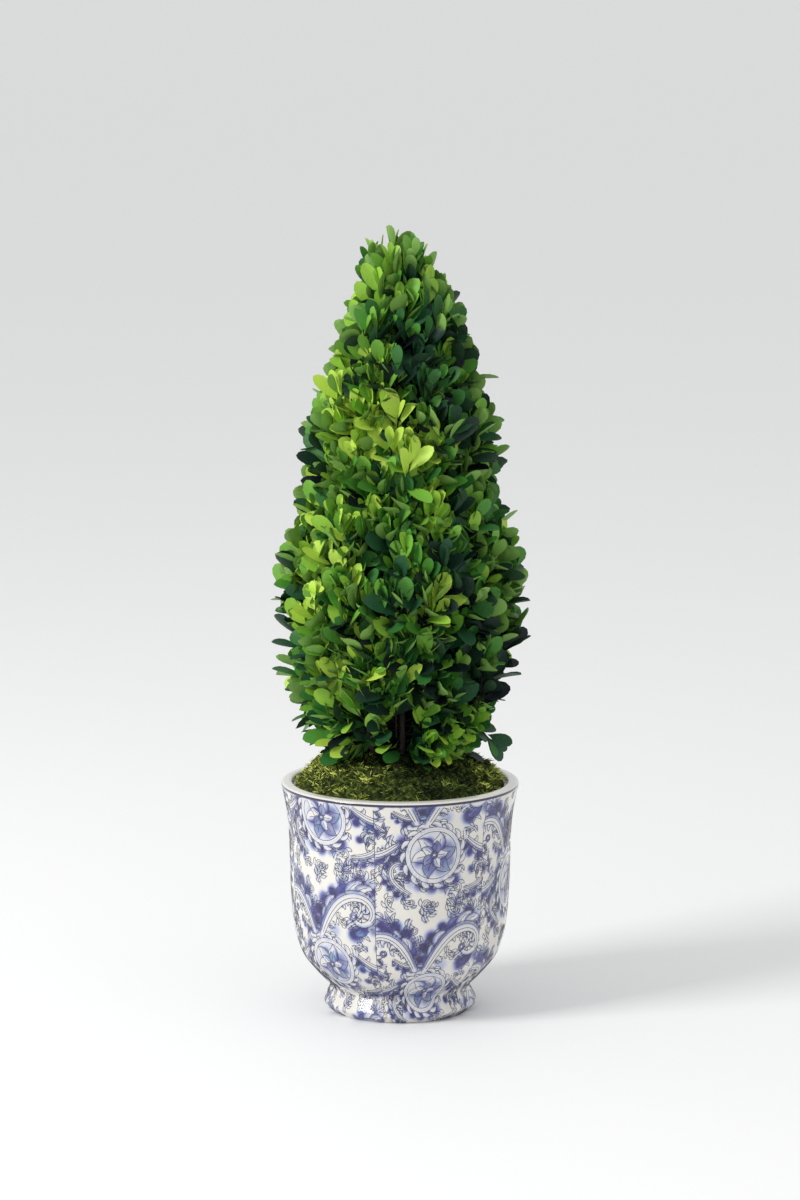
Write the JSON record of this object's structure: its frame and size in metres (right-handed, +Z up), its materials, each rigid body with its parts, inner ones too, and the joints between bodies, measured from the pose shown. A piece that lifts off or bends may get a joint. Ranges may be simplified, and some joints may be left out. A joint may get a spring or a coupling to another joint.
{
  "type": "cone topiary",
  "caption": "Small-leaved shrub clipped to a tall cone, growing through moss in a footed, glazed planter that stands on its foot ring.",
  "frame": {"origin": "centre of the planter's foot, at the level it stands on", "axes": "+Z up the stem to the tip of the crown; -Y is the front, where the gaps in the lowest tier show two boughs; +X is to the right seen from the front"},
  "size_m": [0.1778, 0.1786, 0.569],
  "materials": {
    "glaze": "gloss glaze, ivory with blue scrollwork",
    "soil": "matt potting fill",
    "moss": "matt, fibrous",
    "bark": "rough bark",
    "leaf": "satin leaves"
  },
  "bodies": {
    "root": {"planter": "glaze", "potting_fill": "soil", "moss_bed": "moss", "stem": "bark", "bough_1": "bark", "bough_2": "bark", "bough_3": "bark", "bough_4": "bark", "bough_5": "bark", "bough_6": "bark", "foliage_foot_1": "leaf", "foliage_foot_2": "leaf", "foliage_foot_3": "leaf", "foliage_foot_4": "leaf", "foliage_foot_5": "leaf", "foliage_foot_6": "leaf", "foliage_lower_1": "leaf", "foliage_lower_2": "leaf", "foliage_lower_3": "leaf", "foliage_lower_4": "leaf", "foliage_middle_1": "leaf", "foliage_middle_2": "leaf", "foliage_middle_3": "leaf", "foliage_middle_4": "leaf", "foliage_upper_1": "leaf", "foliage_upper_2": "leaf", "foliage_upper_3": "leaf", "foliage_shoulder_1": "leaf", "foliage_shoulder_2": "leaf", "foliage_shoulder_3": "leaf", "foliage_tip": "leaf"}
  },
  "joints": []
}
